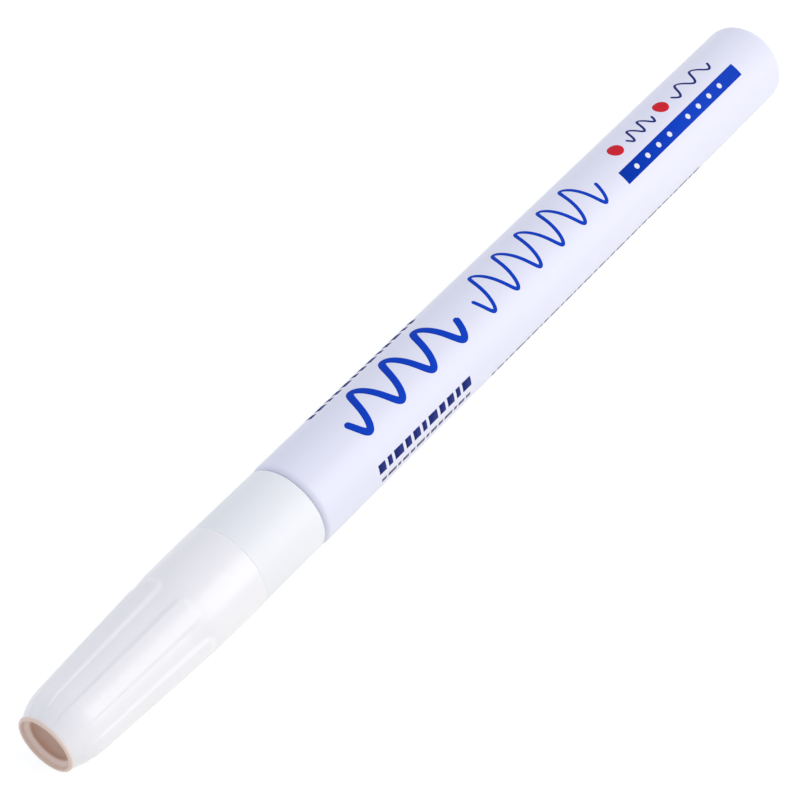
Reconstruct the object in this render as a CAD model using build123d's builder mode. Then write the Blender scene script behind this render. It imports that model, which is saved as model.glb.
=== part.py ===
from build123d import *
import math
import os

# A capped valve-action paint marker that lies along X with its cap towards -X.
# Lengths are in millimetres. Stations run along the pen from the closed end of the cap.
# The origin is on the ground, under the middle of the pen.

# Clearances
seat_clearance = 0.05
push_clearance = 0.03
running_clearance = 0.05
cut_overrun = 1.0

# Barrel
barrel_diameter = 12.0
barrel_length = 103.6
barrel_wall = 0.45
barrel_base_thickness = 0.9
barrel_base_rounding = 1.6
barrel_floor_bevel = 0.8
barrel_lip_rounding = 0.7
barrel_lip_reach = 0.28

# Front collar: insets and walls are measured inwards from the barrel
collar_inset = 0.05
collar_band_length = 11.3
collar_rear_rounding = 0.4
collar_front_bevel = 0.06
collar_spigot_length = 10.2
collar_spigot_bevel = 0.3
gasket_groove_width = 1.2
gasket_groove_depth = 0.75
gasket_setback = 4.4
groove_floor_wall = 0.67
valve_bore_depth = 9.0
valve_shoulder_width = 1.0

# Seat of the cap on the collar, and the cap's inset from the barrel
cap_inset = 0.02
cap_mouth_wall = 0.88
cap_seat_length = 6.7
cap_seat_bevel = 0.35
snap_bead_height = 0.1
snap_bead_width = 1.2
snap_bead_setback = 3.2

# Cap shell
cap_length = 31.0
cap_band_length = 8.95
cap_band_taper = 0.13
cap_mouth_bevel = 0.06
cap_bore_depth = 7.0
cap_wall = 0.9
cap_end_wall = 1.6
cap_shoulder_fall = 0.925
cap_shoulder_length = 2.6
cap_shoulder_rounding = 10.0
grip_step_height = 0.29
grip_step_length = 1.0
grip_step_rounding = 0.5
grip_taper = 0.835

# Ribs on the grip
rib_count = 6
rib_front_height = 0.15
rib_rear_height = 0.37
rib_front_width = 2.95
rib_rear_width = 3.65
rib_end_setback = 2.1
rib_nose_reach = 1.15
rib_flank_angle = 45.0
rib_root_depth = 0.6
rib_edge_rounding = 0.28
crown_least_rise = 0.85
rib_turn_angle = 3.0

# Inner cap
liner_lip_overlap = 0.1
liner_lip_width = 0.65
liner_lip_thickness = 0.3
liner_lip_rounding = 0.12
liner_mouth_rounding = 0.5
liner_side_gap = 0.37
liner_barb_height = 0.2
liner_barb_length = 0.8
liner_recess_depth = 0.75
liner_floor = 0.9
liner_sleeve_wall = 0.8
liner_land_overlap = 1.45
nib_room = 3.4

# Nose and nib
nose_socket_wall = 1.32
nose_plug_length = 6.2
nose_flange_inset = 0.55
nose_flange_thickness = 1.0
nose_land_length = 6.0
nose_tip_wall = 0.5
nose_bevel = 0.25
nose_chamber_length = 5.2
nib_diameter = 1.5
nib_reach = 4.0
nib_taper_length = 3.0
nib_point_diameter = 0.8
nib_point_rounding_share = 0.9
nib_socket_depth = 5.0
feed_groove_count = 4
feed_groove_diameter = 0.5

# Valve
stem_front_gap = 0.4
stem_socket_wall = 0.72
stem_socket_floor = 1.2
stem_shaft_diameter = 2.2
stem_flute_count = 4
stem_flute_diameter = 0.9
seat_ring_thickness = 1.3
seat_ring_bevel = 0.5
seat_flow_gap = 0.6
valve_head_gap = 0.35
valve_head_dip = 0.2
valve_head_rim = 0.9
valve_tail_diameter = 1.8
cage_wall = 0.6
cage_flange_thickness = 1.0
cage_flange_reach = 0.9
cage_tail_length = 4.2
cage_base_thickness = 1.2
cage_base_bevel = 0.6
cage_window_count = 4
cage_window_width = 2.4
cage_window_length = 2.0
cage_port_diameter = 1.3

# Valve spring
spring_wire_diameter = 0.4
spring_wire_sides = 6
spring_guide_gap = 0.8
spring_turns = 7

# Mixing ball
ball_diameter = 6.0

# Radii from the barrel inwards: collar, cap, inner cap and nose
barrel_radius = barrel_diameter / 2
barrel_inner_radius = barrel_radius - barrel_wall
barrel_lip_radius = barrel_inner_radius - barrel_lip_reach
collar_band_radius = barrel_radius - collar_inset
collar_neck_radius = barrel_lip_radius - push_clearance
collar_spigot_radius = barrel_inner_radius - push_clearance
gasket_groove_radius = collar_spigot_radius - gasket_groove_depth
valve_bore_radius = gasket_groove_radius - groove_floor_wall
collar_passage_radius = valve_bore_radius - valve_shoulder_width
cap_band_radius = barrel_radius - cap_inset
band_front_radius = cap_band_radius - cap_band_taper
cap_bore_radius = cap_band_radius - cap_mouth_wall
snap_bead_radius = cap_bore_radius - running_clearance
cap_seat_radius = snap_bead_radius - snap_bead_height
snap_groove_radius = cap_bore_radius + snap_bead_height
grip_rear_radius = band_front_radius - grip_step_height
grip_front_radius = grip_rear_radius - grip_taper
cap_shoulder_radius = grip_front_radius - cap_shoulder_fall
cap_cavity_radius = grip_front_radius - cap_wall
liner_lip_radius = cap_shoulder_radius + liner_lip_overlap
liner_tube_radius = cap_cavity_radius - liner_side_gap
liner_hole_radius = liner_tube_radius + push_clearance
liner_recess_radius = liner_lip_radius - liner_lip_width
liner_sleeve_radius = liner_tube_radius - liner_sleeve_wall
nose_land_radius = liner_sleeve_radius - running_clearance
nose_flange_radius = cap_seat_radius - nose_flange_inset
nose_socket_radius = cap_seat_radius - nose_socket_wall
nose_plug_radius = nose_socket_radius - push_clearance

# Radii from the nib outwards, and those of the valve inside its bore
nib_radius = nib_diameter / 2
nib_bore_radius = nib_radius + running_clearance
nib_socket_radius = nib_radius + push_clearance
nose_tip_radius = nib_bore_radius + nose_tip_wall
stem_socket_radius = nib_socket_radius + stem_socket_wall
nose_chamber_radius = stem_socket_radius + running_clearance
stem_shaft_radius = stem_shaft_diameter / 2
seat_bore_radius = stem_shaft_radius + seat_flow_gap
valve_head_front_radius = seat_bore_radius - valve_head_dip
cage_radius = valve_bore_radius - push_clearance
cage_inner_radius = cage_radius - cage_wall
valve_head_radius = cage_inner_radius - valve_head_gap
valve_tail_radius = valve_tail_diameter / 2
valve_guide_radius = valve_tail_radius + running_clearance
spring_wire_radius = spring_wire_diameter / 2
spring_radius = valve_tail_radius + spring_guide_gap + spring_wire_radius
ball_radius = ball_diameter / 2

# Stations along the pen, from the end of the cap to the base of the barrel
shell_front = liner_lip_thickness
grip_front = shell_front + cap_shoulder_length
cap_mouth = cap_length
grip_rear = cap_mouth - cap_band_length - grip_step_length
cap_bore_front = cap_mouth - cap_bore_depth
cap_end_rear = shell_front + cap_end_wall
collar_front = cap_mouth + seat_clearance
collar_rear = collar_front + collar_band_length
barrel_front = collar_rear + seat_clearance
barrel_rear = barrel_front + barrel_length
barrel_floor = barrel_rear - barrel_base_thickness
overall_length = barrel_rear
cap_seat_front = collar_front - cap_seat_length
snap_bead = collar_front - snap_bead_setback
collar_spigot_front = barrel_front + barrel_lip_rounding + seat_clearance
collar_spigot_rear = collar_spigot_front + collar_spigot_length
valve_shoulder = collar_spigot_rear - valve_bore_depth
gasket_front = collar_spigot_rear - gasket_setback - gasket_groove_width
gasket_rear = gasket_front + gasket_groove_width
nose_plug_rear = cap_seat_front + nose_plug_length
nose_socket_floor = nose_plug_rear + seat_clearance
nose_flange_front = cap_seat_front - nose_flange_thickness
nose_land_front = nose_flange_front - nose_land_length
liner_floor_front = liner_recess_depth
liner_floor_rear = liner_floor_front + liner_floor
liner_rear = nose_land_front + liner_land_overlap
nib_tip = liner_floor_rear + nib_room
nose_tip = nib_tip + nib_reach
nose_chamber_front = nose_plug_rear - nose_chamber_length
stem_socket_front = nose_chamber_front + stem_front_gap
nib_rear = stem_socket_front + nib_socket_depth
stem_socket_rear = nib_rear + stem_socket_floor
seat_ring_front = valve_shoulder
seat_ring_rear = seat_ring_front + seat_ring_thickness
cage_front = seat_ring_rear
cage_flange_front = collar_spigot_rear
cage_flange_rear = cage_flange_front + cage_flange_thickness
cage_rear = cage_flange_rear + cage_tail_length
cage_floor = cage_rear - cage_base_thickness
valve_head_front = seat_ring_rear - seat_ring_bevel - valve_head_dip + seat_clearance
valve_head_shoulder = valve_head_front + valve_head_radius - valve_head_front_radius
valve_head_rear = valve_head_shoulder + valve_head_rim
valve_tail_rear = cage_rear

# The pen's axis, and the plane through it where x is the station and y the radius
axis_height = barrel_radius
pen_axis = Axis((0, 0, axis_height), (1, 0, 0))
axial_plane = Plane(origin=(-overall_length / 2, 0, axis_height), x_dir=(1, 0, 0), z_dir=(0, -1, 0))


def cross_plane(station):
    """A plane across the pen at a station, facing the barrel's base."""
    return Plane(origin=(station - overall_length / 2, 0, axis_height), x_dir=(0, 1, 0), z_dir=(1, 0, 0))


def turned(*corners, mode=Mode.ADD):
    """Revolve a closed outline about the pen; a corner is (station, radius) or adds its rounding."""
    points = [corner[:2] for corner in corners]
    roundings = [corner[2] if len(corner) > 2 else 0 for corner in corners]
    with BuildSketch(axial_plane) as outline:
        with BuildLine():
            FilletPolyline(*points, radius=roundings, close=True)
        make_face()
    revolve(outline.sketch, axis=pen_axis, mode=mode)


os.makedirs("parts", exist_ok=True)

# Barrel: a drawn can with a rounded base and a lip turned in over the collar's neck
with BuildPart() as barrel_tube:
    turned(
        (barrel_front, barrel_lip_radius),
        (barrel_front, barrel_radius, barrel_lip_rounding),
        (barrel_rear, barrel_radius, barrel_base_rounding),
        (barrel_rear, 0),
        (barrel_floor, 0),
        (barrel_floor, barrel_inner_radius - barrel_floor_bevel),
        (barrel_floor - barrel_floor_bevel, barrel_inner_radius),
        (barrel_front + barrel_wall, barrel_inner_radius),
        (barrel_front + barrel_wall, barrel_lip_radius),
    )
barrel_tube.part.label = "barrel_tube"
export_step(barrel_tube.part, "parts/barrel_tube.step")

# Front collar: cap seat with its snap bead, visible band, neck under the lip, spigot in the barrel
with BuildPart() as front_collar:
    turned(
        (cap_seat_front, nose_socket_radius),
        (cap_seat_front, cap_seat_radius - cap_seat_bevel),
        (cap_seat_front + cap_seat_bevel, cap_seat_radius),
        (snap_bead - snap_bead_width / 2, cap_seat_radius),
        (snap_bead, snap_bead_radius),
        (snap_bead + snap_bead_width / 2, cap_seat_radius),
        (collar_front, cap_seat_radius),
        (collar_front, collar_band_radius - collar_front_bevel),
        (collar_front + collar_front_bevel, collar_band_radius),
        (collar_rear, collar_band_radius, collar_rear_rounding),
        (collar_rear, collar_neck_radius),
        (collar_spigot_front, collar_neck_radius),
        (collar_spigot_front, collar_spigot_radius),
        (gasket_front, collar_spigot_radius),
        (gasket_front, gasket_groove_radius),
        (gasket_rear, gasket_groove_radius),
        (gasket_rear, collar_spigot_radius),
        (collar_spigot_rear - collar_spigot_bevel, collar_spigot_radius),
        (collar_spigot_rear, collar_spigot_radius - collar_spigot_bevel),
        (collar_spigot_rear, valve_bore_radius),
        (valve_shoulder, valve_bore_radius),
        (valve_shoulder, collar_passage_radius),
        (nose_socket_floor, collar_passage_radius),
        (nose_socket_floor, nose_socket_radius),
    )
front_collar.part.label = "front_collar"
export_step(front_collar.part, "parts/front_collar.step")

# Gasket: a square-cut rubber ring that fills the collar's groove out to the barrel
with BuildPart() as barrel_gasket:
    turned(
        (gasket_front + push_clearance, gasket_groove_radius + push_clearance),
        (gasket_rear - push_clearance, gasket_groove_radius + push_clearance),
        (gasket_rear - push_clearance, barrel_inner_radius - push_clearance),
        (gasket_front + push_clearance, barrel_inner_radius - push_clearance),
    )
barrel_gasket.part.label = "barrel_gasket"
export_step(barrel_gasket.part, "parts/barrel_gasket.step")

# One rib of the cap's grip, made on top of the cone: a drafted pad with round ends, crowned by
# a surface that leaves the shoulder at the front and rises above the grip towards the band.
# The crown's faces look nearly straight up, and the rim round all of them is rounded
grip_slope = grip_taper / (grip_rear - grip_front)
rib_run = (1, 0, grip_slope)
rib_normal = (-grip_slope, 0, 1)
rib_root = (grip_front - overall_length / 2, 0, axis_height + grip_front_radius)
rib_plane = Plane(origin=rib_root, x_dir=rib_run, z_dir=rib_normal)
flank_spread = rib_root_depth * math.tan(math.radians(rib_flank_angle))
rib_front_radius = rib_front_width / 2 + flank_spread
rib_rear_radius = rib_rear_width / 2 + flank_spread
rib_front = rib_end_setback - flank_spread
rib_rear = grip_rear + rib_nose_reach + flank_spread
rib_front_centre = rib_front + rib_front_radius - grip_front
rib_rear_centre = rib_rear - rib_rear_radius - grip_front
rib_spread = math.asin((rib_rear_radius - rib_front_radius) / (rib_rear_centre - rib_front_centre))
rib_side = Vector(-math.sin(rib_spread), -math.cos(rib_spread))
rib_pitch_angle = 360 / rib_count
rib_first_angle = rib_pitch_angle / 2 + rib_turn_angle
crown_radius = grip_front_radius + rib_front_height
crown_slope = grip_slope + (rib_rear_height - rib_front_height) / (grip_rear - grip_front)
with BuildPart() as rib:
    with BuildSketch(rib_plane.offset(-rib_root_depth)):
        with BuildLine():
            side = Line(
                Vector(rib_front_centre, 0) + rib_side * rib_front_radius,
                Vector(rib_rear_centre, 0) + rib_side * rib_rear_radius,
            )
            far_side = mirror(side, about=Plane.XZ)
            ThreePointArc(side @ 1, (rib_rear_centre + rib_rear_radius, 0), far_side @ 1)
            ThreePointArc(far_side @ 0, (rib_front_centre - rib_front_radius, 0), side @ 0)
        make_face()
    extrude(amount=rib_root_depth + 2 * rib_rear_height, taper=rib_flank_angle)
    turned(
        (shell_front, 0),
        (shell_front, cap_shoulder_radius),
        (grip_front, crown_radius, cap_shoulder_rounding),
        (cap_mouth, crown_radius + crown_slope * (cap_mouth - grip_front)),
        (cap_mouth, 0),
        mode=Mode.INTERSECT,
    )
    crown = rib.faces().filter_by(lambda face: face.normal_at().Z > crown_least_rise)
    crown_rim = [edge for edge in crown.edges() if sum(edge in face.edges() for face in crown) == 1]
    fillet(crown_rim, radius=rib_edge_rounding)

# Cap shell: band, tapered grip with ribs, rounded shoulder and the hole for the inner cap
with BuildPart() as cap_shell:
    turned(
        (shell_front, 0),
        (shell_front, cap_shoulder_radius),
        (grip_front, grip_front_radius, cap_shoulder_rounding),
        (grip_rear, grip_rear_radius, grip_step_rounding),
        (grip_rear + grip_step_length, band_front_radius, grip_step_rounding),
        (cap_mouth - cap_mouth_bevel, cap_band_radius),
        (cap_mouth, cap_band_radius - cap_mouth_bevel),
        (cap_mouth, 0),
    )
    for index in range(rib_count):
        add(rib.part.rotate(pen_axis, rib_first_angle + index * rib_pitch_angle))
    turned(
        (cap_end_rear, 0),
        (cap_end_rear, cap_cavity_radius),
        (cap_bore_front, cap_cavity_radius + grip_slope * (cap_bore_front - grip_front)),
        (cap_bore_front, cap_bore_radius),
        (snap_bead - snap_bead_width, cap_bore_radius),
        (snap_bead - snap_bead_width / 2, snap_groove_radius),
        (snap_bead + snap_bead_width / 2, snap_groove_radius),
        (snap_bead + snap_bead_width, cap_bore_radius),
        (cap_mouth, cap_bore_radius),
        (cap_mouth, 0),
        mode=Mode.SUBTRACT,
    )
    turned(
        (0, 0),
        (0, liner_hole_radius),
        (cap_end_rear + cut_overrun, liner_hole_radius),
        (cap_end_rear + cut_overrun, 0),
        mode=Mode.SUBTRACT,
    )
cap_shell.part.label = "cap_shell"
export_step(cap_shell.part, "parts/cap_shell.step")

# Inner cap: lip and recess that show at the end, barb behind the shell's wall, sleeve round the nose
liner_barb_front = cap_end_rear + push_clearance
with BuildPart() as inner_cap:
    turned(
        (0, liner_recess_radius, liner_mouth_rounding),
        (0, liner_lip_radius, liner_lip_rounding),
        (shell_front - push_clearance, liner_lip_radius),
        (shell_front - push_clearance, liner_tube_radius),
        (liner_barb_front, liner_tube_radius),
        (liner_barb_front, liner_tube_radius + liner_barb_height),
        (liner_barb_front + liner_barb_length, liner_tube_radius),
        (liner_rear, liner_tube_radius),
        (liner_rear, liner_sleeve_radius),
        (liner_floor_rear, liner_sleeve_radius),
        (liner_floor_rear, 0),
        (liner_floor_front, 0),
        (liner_floor_front, liner_recess_radius),
    )
inner_cap.part.label = "inner_cap"
export_step(inner_cap.part, "parts/inner_cap.step")

# Nose cone: plug in the collar, flange, sealing land, taper and the grooved bore of the nib
with BuildPart() as nose_cone:
    turned(
        (nose_tip, nib_bore_radius),
        (nose_tip, nose_tip_radius - nose_bevel),
        (nose_tip + nose_bevel, nose_tip_radius),
        (nose_land_front, nose_land_radius),
        (nose_flange_front, nose_land_radius),
        (nose_flange_front, nose_flange_radius - nose_bevel),
        (nose_flange_front + nose_bevel, nose_flange_radius),
        (cap_seat_front, nose_flange_radius),
        (cap_seat_front, nose_plug_radius),
        (nose_plug_rear, nose_plug_radius),
        (nose_plug_rear, nose_chamber_radius),
        (nose_chamber_front, nose_chamber_radius),
        (nose_chamber_front, nib_bore_radius),
    )
    with BuildSketch(cross_plane(nose_chamber_front)):
        with PolarLocations(nib_bore_radius, feed_groove_count):
            Circle(feed_groove_diameter / 2)
    extrude(amount=nose_tip - nose_chamber_front, mode=Mode.SUBTRACT)
nose_cone.part.label = "nose_cone"
export_step(nose_cone.part, "parts/nose_cone.step")

# Nib: a straight rod with a tapered, round point
nib_point_radius = nib_point_diameter / 2
with BuildPart() as nib:
    turned(
        (nib_tip, 0),
        (nib_tip, nib_point_radius, nib_point_radius * nib_point_rounding_share),
        (nib_tip + nib_taper_length, nib_radius),
        (nib_rear, nib_radius),
        (nib_rear, 0),
    )
nib.part.label = "nib"
export_step(nib.part, "parts/nib.step")

# Valve stem: nib socket, fluted shaft, conical head and the tail that the cage guides
with BuildPart() as valve_stem:
    turned(
        (stem_socket_front, nib_socket_radius),
        (stem_socket_front, stem_socket_radius),
        (stem_socket_rear, stem_socket_radius),
        (stem_socket_rear, stem_shaft_radius),
        (valve_head_front, stem_shaft_radius),
        (valve_head_front, valve_head_front_radius),
        (valve_head_shoulder, valve_head_radius),
        (valve_head_rear, valve_head_radius),
        (valve_head_rear, valve_tail_radius),
        (valve_tail_rear, valve_tail_radius),
        (valve_tail_rear, 0),
        (nib_rear, 0),
        (nib_rear, nib_socket_radius),
    )
    with BuildSketch(cross_plane(stem_socket_front)):
        with PolarLocations(stem_socket_radius, stem_flute_count):
            Circle(stem_flute_diameter / 2)
    extrude(amount=valve_head_front - stem_socket_front, mode=Mode.SUBTRACT)
valve_stem.part.label = "valve_stem"
export_step(valve_stem.part, "parts/valve_stem.step")

# Valve seat: a rubber ring with a conical rear edge that the valve's head closes on
with BuildPart() as valve_seat:
    turned(
        (seat_ring_front, seat_bore_radius),
        (seat_ring_front, cage_radius),
        (seat_ring_rear, cage_radius),
        (seat_ring_rear, seat_bore_radius + seat_ring_bevel),
        (seat_ring_rear - seat_ring_bevel, seat_bore_radius),
    )
valve_seat.part.label = "valve_seat"
export_step(valve_seat.part, "parts/valve_seat.step")

# Valve cage: a cup that clamps the seat, with a flange on the collar, windows and inlet ports
with BuildPart() as valve_cage:
    turned(
        (cage_front, cage_inner_radius),
        (cage_front, cage_radius),
        (cage_flange_front, cage_radius),
        (cage_flange_front, cage_radius + cage_flange_reach),
        (cage_flange_rear, cage_radius + cage_flange_reach),
        (cage_flange_rear, cage_radius),
        (cage_rear - cage_base_bevel, cage_radius),
        (cage_rear, cage_radius - cage_base_bevel),
        (cage_rear, valve_guide_radius),
        (cage_floor, valve_guide_radius),
        (cage_floor, cage_inner_radius),
    )
    with BuildSketch(cross_plane(cage_floor)):
        with PolarLocations(cage_radius - cage_wall / 2, cage_window_count):
            Rectangle(cage_wall + cut_overrun, cage_window_width)
    extrude(amount=-cage_window_length, mode=Mode.SUBTRACT)
    cage_port_radius = (cage_inner_radius + valve_tail_radius) / 2
    between_windows = 360 / cage_window_count / 2
    with BuildSketch(cross_plane(cage_floor)):
        with PolarLocations(cage_port_radius, cage_window_count, start_angle=between_windows):
            Circle(cage_port_diameter / 2)
    extrude(amount=cage_base_thickness, mode=Mode.SUBTRACT)
valve_cage.part.label = "valve_cage"
export_step(valve_cage.part, "parts/valve_cage.step")

# Valve spring: one wire wound at a steady pitch between the cage's floor and the valve's head
spring_front = valve_head_rear + seat_clearance + spring_wire_radius
spring_rear = cage_floor - seat_clearance - spring_wire_radius
spring_pitch = (spring_rear - spring_front) / spring_turns
quarter_turns = 4 * spring_turns


def coil_point(quarter):
    """The wire's centre after some quarter turns."""
    angle = quarter * math.pi / 2
    along = spring_front - overall_length / 2 + spring_pitch * quarter / 4
    return Vector(along, spring_radius * math.cos(angle), axis_height + spring_radius * math.sin(angle))


def coil_direction(quarter):
    """The wire's direction after some quarter turns."""
    angle = quarter * math.pi / 2
    climb = spring_pitch / (2 * math.pi)
    return Vector(climb, -spring_radius * math.sin(angle), spring_radius * math.cos(angle)).normalized()


def biarc(start, start_direction, end, end_direction):
    """Join two points by two arcs that share a tangent where they meet."""
    chord = end - start
    both = start_direction + end_direction
    square = both.dot(both) - 4
    half = chord.dot(both)
    reach = (half - math.sqrt(half * half - square * chord.dot(chord))) / square
    first = start + start_direction * reach
    second = end - end_direction * reach
    middle = (first + second) / 2
    TangentArc(start, middle, tangent=start_direction)
    TangentArc(middle, end, tangent=second - first)


with BuildPart() as valve_spring:
    with BuildLine() as coil:
        for quarter in range(quarter_turns):
            biarc(
                coil_point(quarter),
                coil_direction(quarter),
                coil_point(quarter + 1),
                coil_direction(quarter + 1),
            )
    with BuildSketch(Plane(origin=coil_point(0), z_dir=coil_direction(0))):
        RegularPolygon(spring_wire_radius, spring_wire_sides)
    sweep()
valve_spring.part.label = "valve_spring"
export_step(valve_spring.part, "parts/valve_spring.step")

# Room between neighbouring turns, measured on points of the wire's centre line,
# each against those at least half a turn further on
quarter_steps = 8
half_turn_steps = 2 * quarter_steps
coil_points = [coil_point(step / quarter_steps) for step in range(quarter_steps * quarter_turns + 1)]
turn_gap = min(
    (first - second).length
    for place, first in enumerate(coil_points)
    for second in coil_points[place + half_turn_steps :]
) - spring_wire_diameter
print("valve spring, least gap between turns", round(turn_gap, 3))

# Mixing ball: rests on the barrel's wall near its base
ball_drop = barrel_inner_radius - ball_radius - running_clearance
ball_station = barrel_floor - running_clearance - ball_radius
with BuildPart() as mixing_ball:
    with Locations((ball_station - overall_length / 2, 0, axis_height - ball_drop)):
        Sphere(ball_radius)
mixing_ball.part.label = "mixing_ball"
export_step(mixing_ball.part, "parts/mixing_ball.step")
print("overall length", round(overall_length, 3))
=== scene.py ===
# %% [markdown]
# A slim paint marker lies on a pale table with its cap on. It has a white enamelled barrel with a
# simple blue print, a white collar, and a tapered cap with six raised ribs and a tan plug in its end.
# The imported model gives every piece its place, so this lesson first loads it and notes the box that
# it fills.

# %% Load the frame
import math

import bmesh
import bpy
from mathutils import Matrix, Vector


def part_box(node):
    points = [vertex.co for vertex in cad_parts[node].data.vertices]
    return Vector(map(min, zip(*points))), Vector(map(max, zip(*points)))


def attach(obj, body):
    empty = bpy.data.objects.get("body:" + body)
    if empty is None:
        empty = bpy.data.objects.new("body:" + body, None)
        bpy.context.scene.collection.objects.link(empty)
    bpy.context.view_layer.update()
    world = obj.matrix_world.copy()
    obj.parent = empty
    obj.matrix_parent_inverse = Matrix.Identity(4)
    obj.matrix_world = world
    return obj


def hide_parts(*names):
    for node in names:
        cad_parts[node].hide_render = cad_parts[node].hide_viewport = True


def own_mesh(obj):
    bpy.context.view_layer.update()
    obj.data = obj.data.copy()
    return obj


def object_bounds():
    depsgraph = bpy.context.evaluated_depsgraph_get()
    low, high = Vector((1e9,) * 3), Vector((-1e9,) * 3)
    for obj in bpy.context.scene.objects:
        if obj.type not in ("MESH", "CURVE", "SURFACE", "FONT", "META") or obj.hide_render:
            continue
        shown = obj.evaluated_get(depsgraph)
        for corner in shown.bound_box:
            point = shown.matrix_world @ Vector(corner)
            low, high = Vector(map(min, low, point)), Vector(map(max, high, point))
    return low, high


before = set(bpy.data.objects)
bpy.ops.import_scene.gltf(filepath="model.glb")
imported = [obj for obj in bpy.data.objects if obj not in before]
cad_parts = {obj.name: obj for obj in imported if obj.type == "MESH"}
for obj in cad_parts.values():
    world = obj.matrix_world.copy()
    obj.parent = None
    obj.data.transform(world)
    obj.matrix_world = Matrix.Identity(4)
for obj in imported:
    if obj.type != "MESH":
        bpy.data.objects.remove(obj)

cad_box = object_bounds()
scene = bpy.context.scene
scene.view_settings.view_transform = "Standard"
print("nodes", sorted(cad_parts))

# %% [markdown]
# The marker is a turned thing: nearly every piece is a profile swept round one axis. So places are
# given the way a lathe worker would give them, as a station along the pen, measured from the closed
# end of the cap, and a radius. Both are in millimetres, and become metres where a mesh is made.

# %% Stations and radii
mm = 0.001
pen_low = cad_box[0]
barrel_low, barrel_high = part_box("barrel_tube")
cap_low, cap_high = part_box("cap_shell")
barrel_radius = (barrel_high.z - barrel_low.z) / 2 / mm
axis_height = (barrel_low.z + barrel_high.z) / 2


def station_of(x):
    """A place along X in the frame as a station in millimetres."""
    return (x - pen_low.x) / mm


barrel_front = station_of(barrel_low.x)
barrel_rear = station_of(barrel_high.x)
cap_mouth = station_of(cap_high.x)
shell_front = station_of(cap_low.x)
print("barrel from", round(barrel_front, 2), "to", round(barrel_rear, 2))
print("barrel radius", round(barrel_radius, 3))

# %% [markdown]
# The photograph looks down on the marker from beyond the cap, with a long lens. The camera is placed
# by the direction that it looks from, the point that it looks at and its distance from that point.
# Because it is not rolled, the slant of the marker in the picture fixes both angles.

# %% Camera
view_azimuth = math.radians(-53.21)
view_elevation = math.radians(46.89)
view_distance = 304.3
lens_length = 111.6
aim_station = 64.31
aim_side = -0.12

aim = Vector((pen_low.x + aim_station * mm, aim_side * mm, axis_height))
view_back = Vector((
    math.sin(view_azimuth) * math.cos(view_elevation),
    -math.cos(view_azimuth) * math.cos(view_elevation),
    math.sin(view_elevation),
))
camera_data = bpy.data.cameras.new("photo_camera")
camera_data.lens = lens_length
camera_data.sensor_width = 36
camera_data.clip_start = 0.01
camera_data.clip_end = 20
camera = bpy.data.objects.new("photo_camera", camera_data)
scene.collection.objects.link(camera)
camera.location = aim + view_back * view_distance * mm
camera.rotation_euler = (-view_back).to_track_quat("-Z", "Y").to_euler()
scene.camera = camera
print("camera at", [round(value, 4) for value in camera.location])

# %% [markdown]
# A turned piece starts as a bare wire: its outline, drawn from corner to corner. A vertex bevel rounds
# a corner of such a wire, with the reach along each side that a fillet of that radius needs. Two
# corners on the axis are not joined, because the spin would turn that edge into nothing.

# %% Drawing an outline


def round_corner(bm, corner, radius, segments):
    """Round one corner of a wire with an arc of that radius, in metres."""
    sides = [edge.other_vert(corner).co - corner.co for edge in corner.link_edges]
    reach = radius / math.tan(sides[0].angle(sides[1]) / 2)
    bmesh.ops.bevel(
        bm, geom=[corner], offset=reach, offset_type="OFFSET", segments=segments,
        profile=0.5, affect="VERTICES", material=-1,
    )


def outline_wire(corners, segments=6):
    """A closed wire from (station, radius) corners; a third value rounds that corner."""
    bm = bmesh.new()
    verts = [
        bm.verts.new((pen_low.x + corner[0] * mm, 0, axis_height + corner[1] * mm))
        for corner in corners
    ]
    for index, corner in enumerate(corners):
        following = (index + 1) % len(corners)
        along_axis = corner[1] == 0 and corners[following][1] == 0
        if not along_axis:
            bm.edges.new((verts[index], verts[following]))
    for vert, corner in zip(verts, corners):
        if len(corner) > 2:
            round_corner(bm, vert, corner[2] * mm, segments)
    return bm


print("the axis lies", round(axis_height / mm, 2), "mm above the table")

# %% [markdown]
# A spin sweeps the wire round the pen's axis, as a lathe would, and merges its last step with its
# first. Corners on the axis meet in one pole, so doubles are merged before the normals are worked out.

# %% Spinning it
spin_steps = 160
merge_distance = 1e-7


def spin_wire(bm, steps=spin_steps):
    """Sweep a wire round the pen's axis into a closed wall."""
    bmesh.ops.spin(
        bm, geom=bm.verts[:] + bm.edges[:], axis=(1, 0, 0), cent=(0, 0, axis_height),
        angle=math.tau, steps=steps, use_merge=True,
    )
    bmesh.ops.remove_doubles(bm, verts=bm.verts[:], dist=merge_distance)
    bmesh.ops.recalc_face_normals(bm, faces=bm.faces[:])
    return bm


print("a full turn takes", spin_steps, "steps")

# %% [markdown]
# A finished bmesh becomes an object at the origin. Faces are shaded smooth, and edges that turn by
# more than a set angle stay crisp. The object then rides on the body that carries it, and stands for
# the solid that it dresses.

# %% From bmesh to piece
crisp_angle = math.radians(32)


def make_piece(bm, name, body, material, stands_for=None):
    """Put a bmesh into the scene as a piece of that body."""
    for face in bm.faces:
        face.smooth = True
    for edge in bm.edges:
        if len(edge.link_faces) == 2:
            edge.smooth = edge.calc_face_angle() < crisp_angle
    mesh = bpy.data.meshes.new(name)
    bm.to_mesh(mesh)
    bm.free()
    mesh.materials.append(material)
    piece = bpy.data.objects.new(name, mesh)
    scene.collection.objects.link(piece)
    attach(piece, body)
    if stands_for:
        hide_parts(stands_for)
    print("made", name, "with", len(mesh.polygons), "faces")
    return piece


# %% [markdown]
# Paint, moulded plastic and rubber all have a skin that is not quite even: a fine ripple, and patches
# that are a little duller or paler. One node group makes that skin from two noises on object
# coordinates. Its outputs change over the surface, and each material sets its own colours and gloss.

# %% The shared skin group


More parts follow.
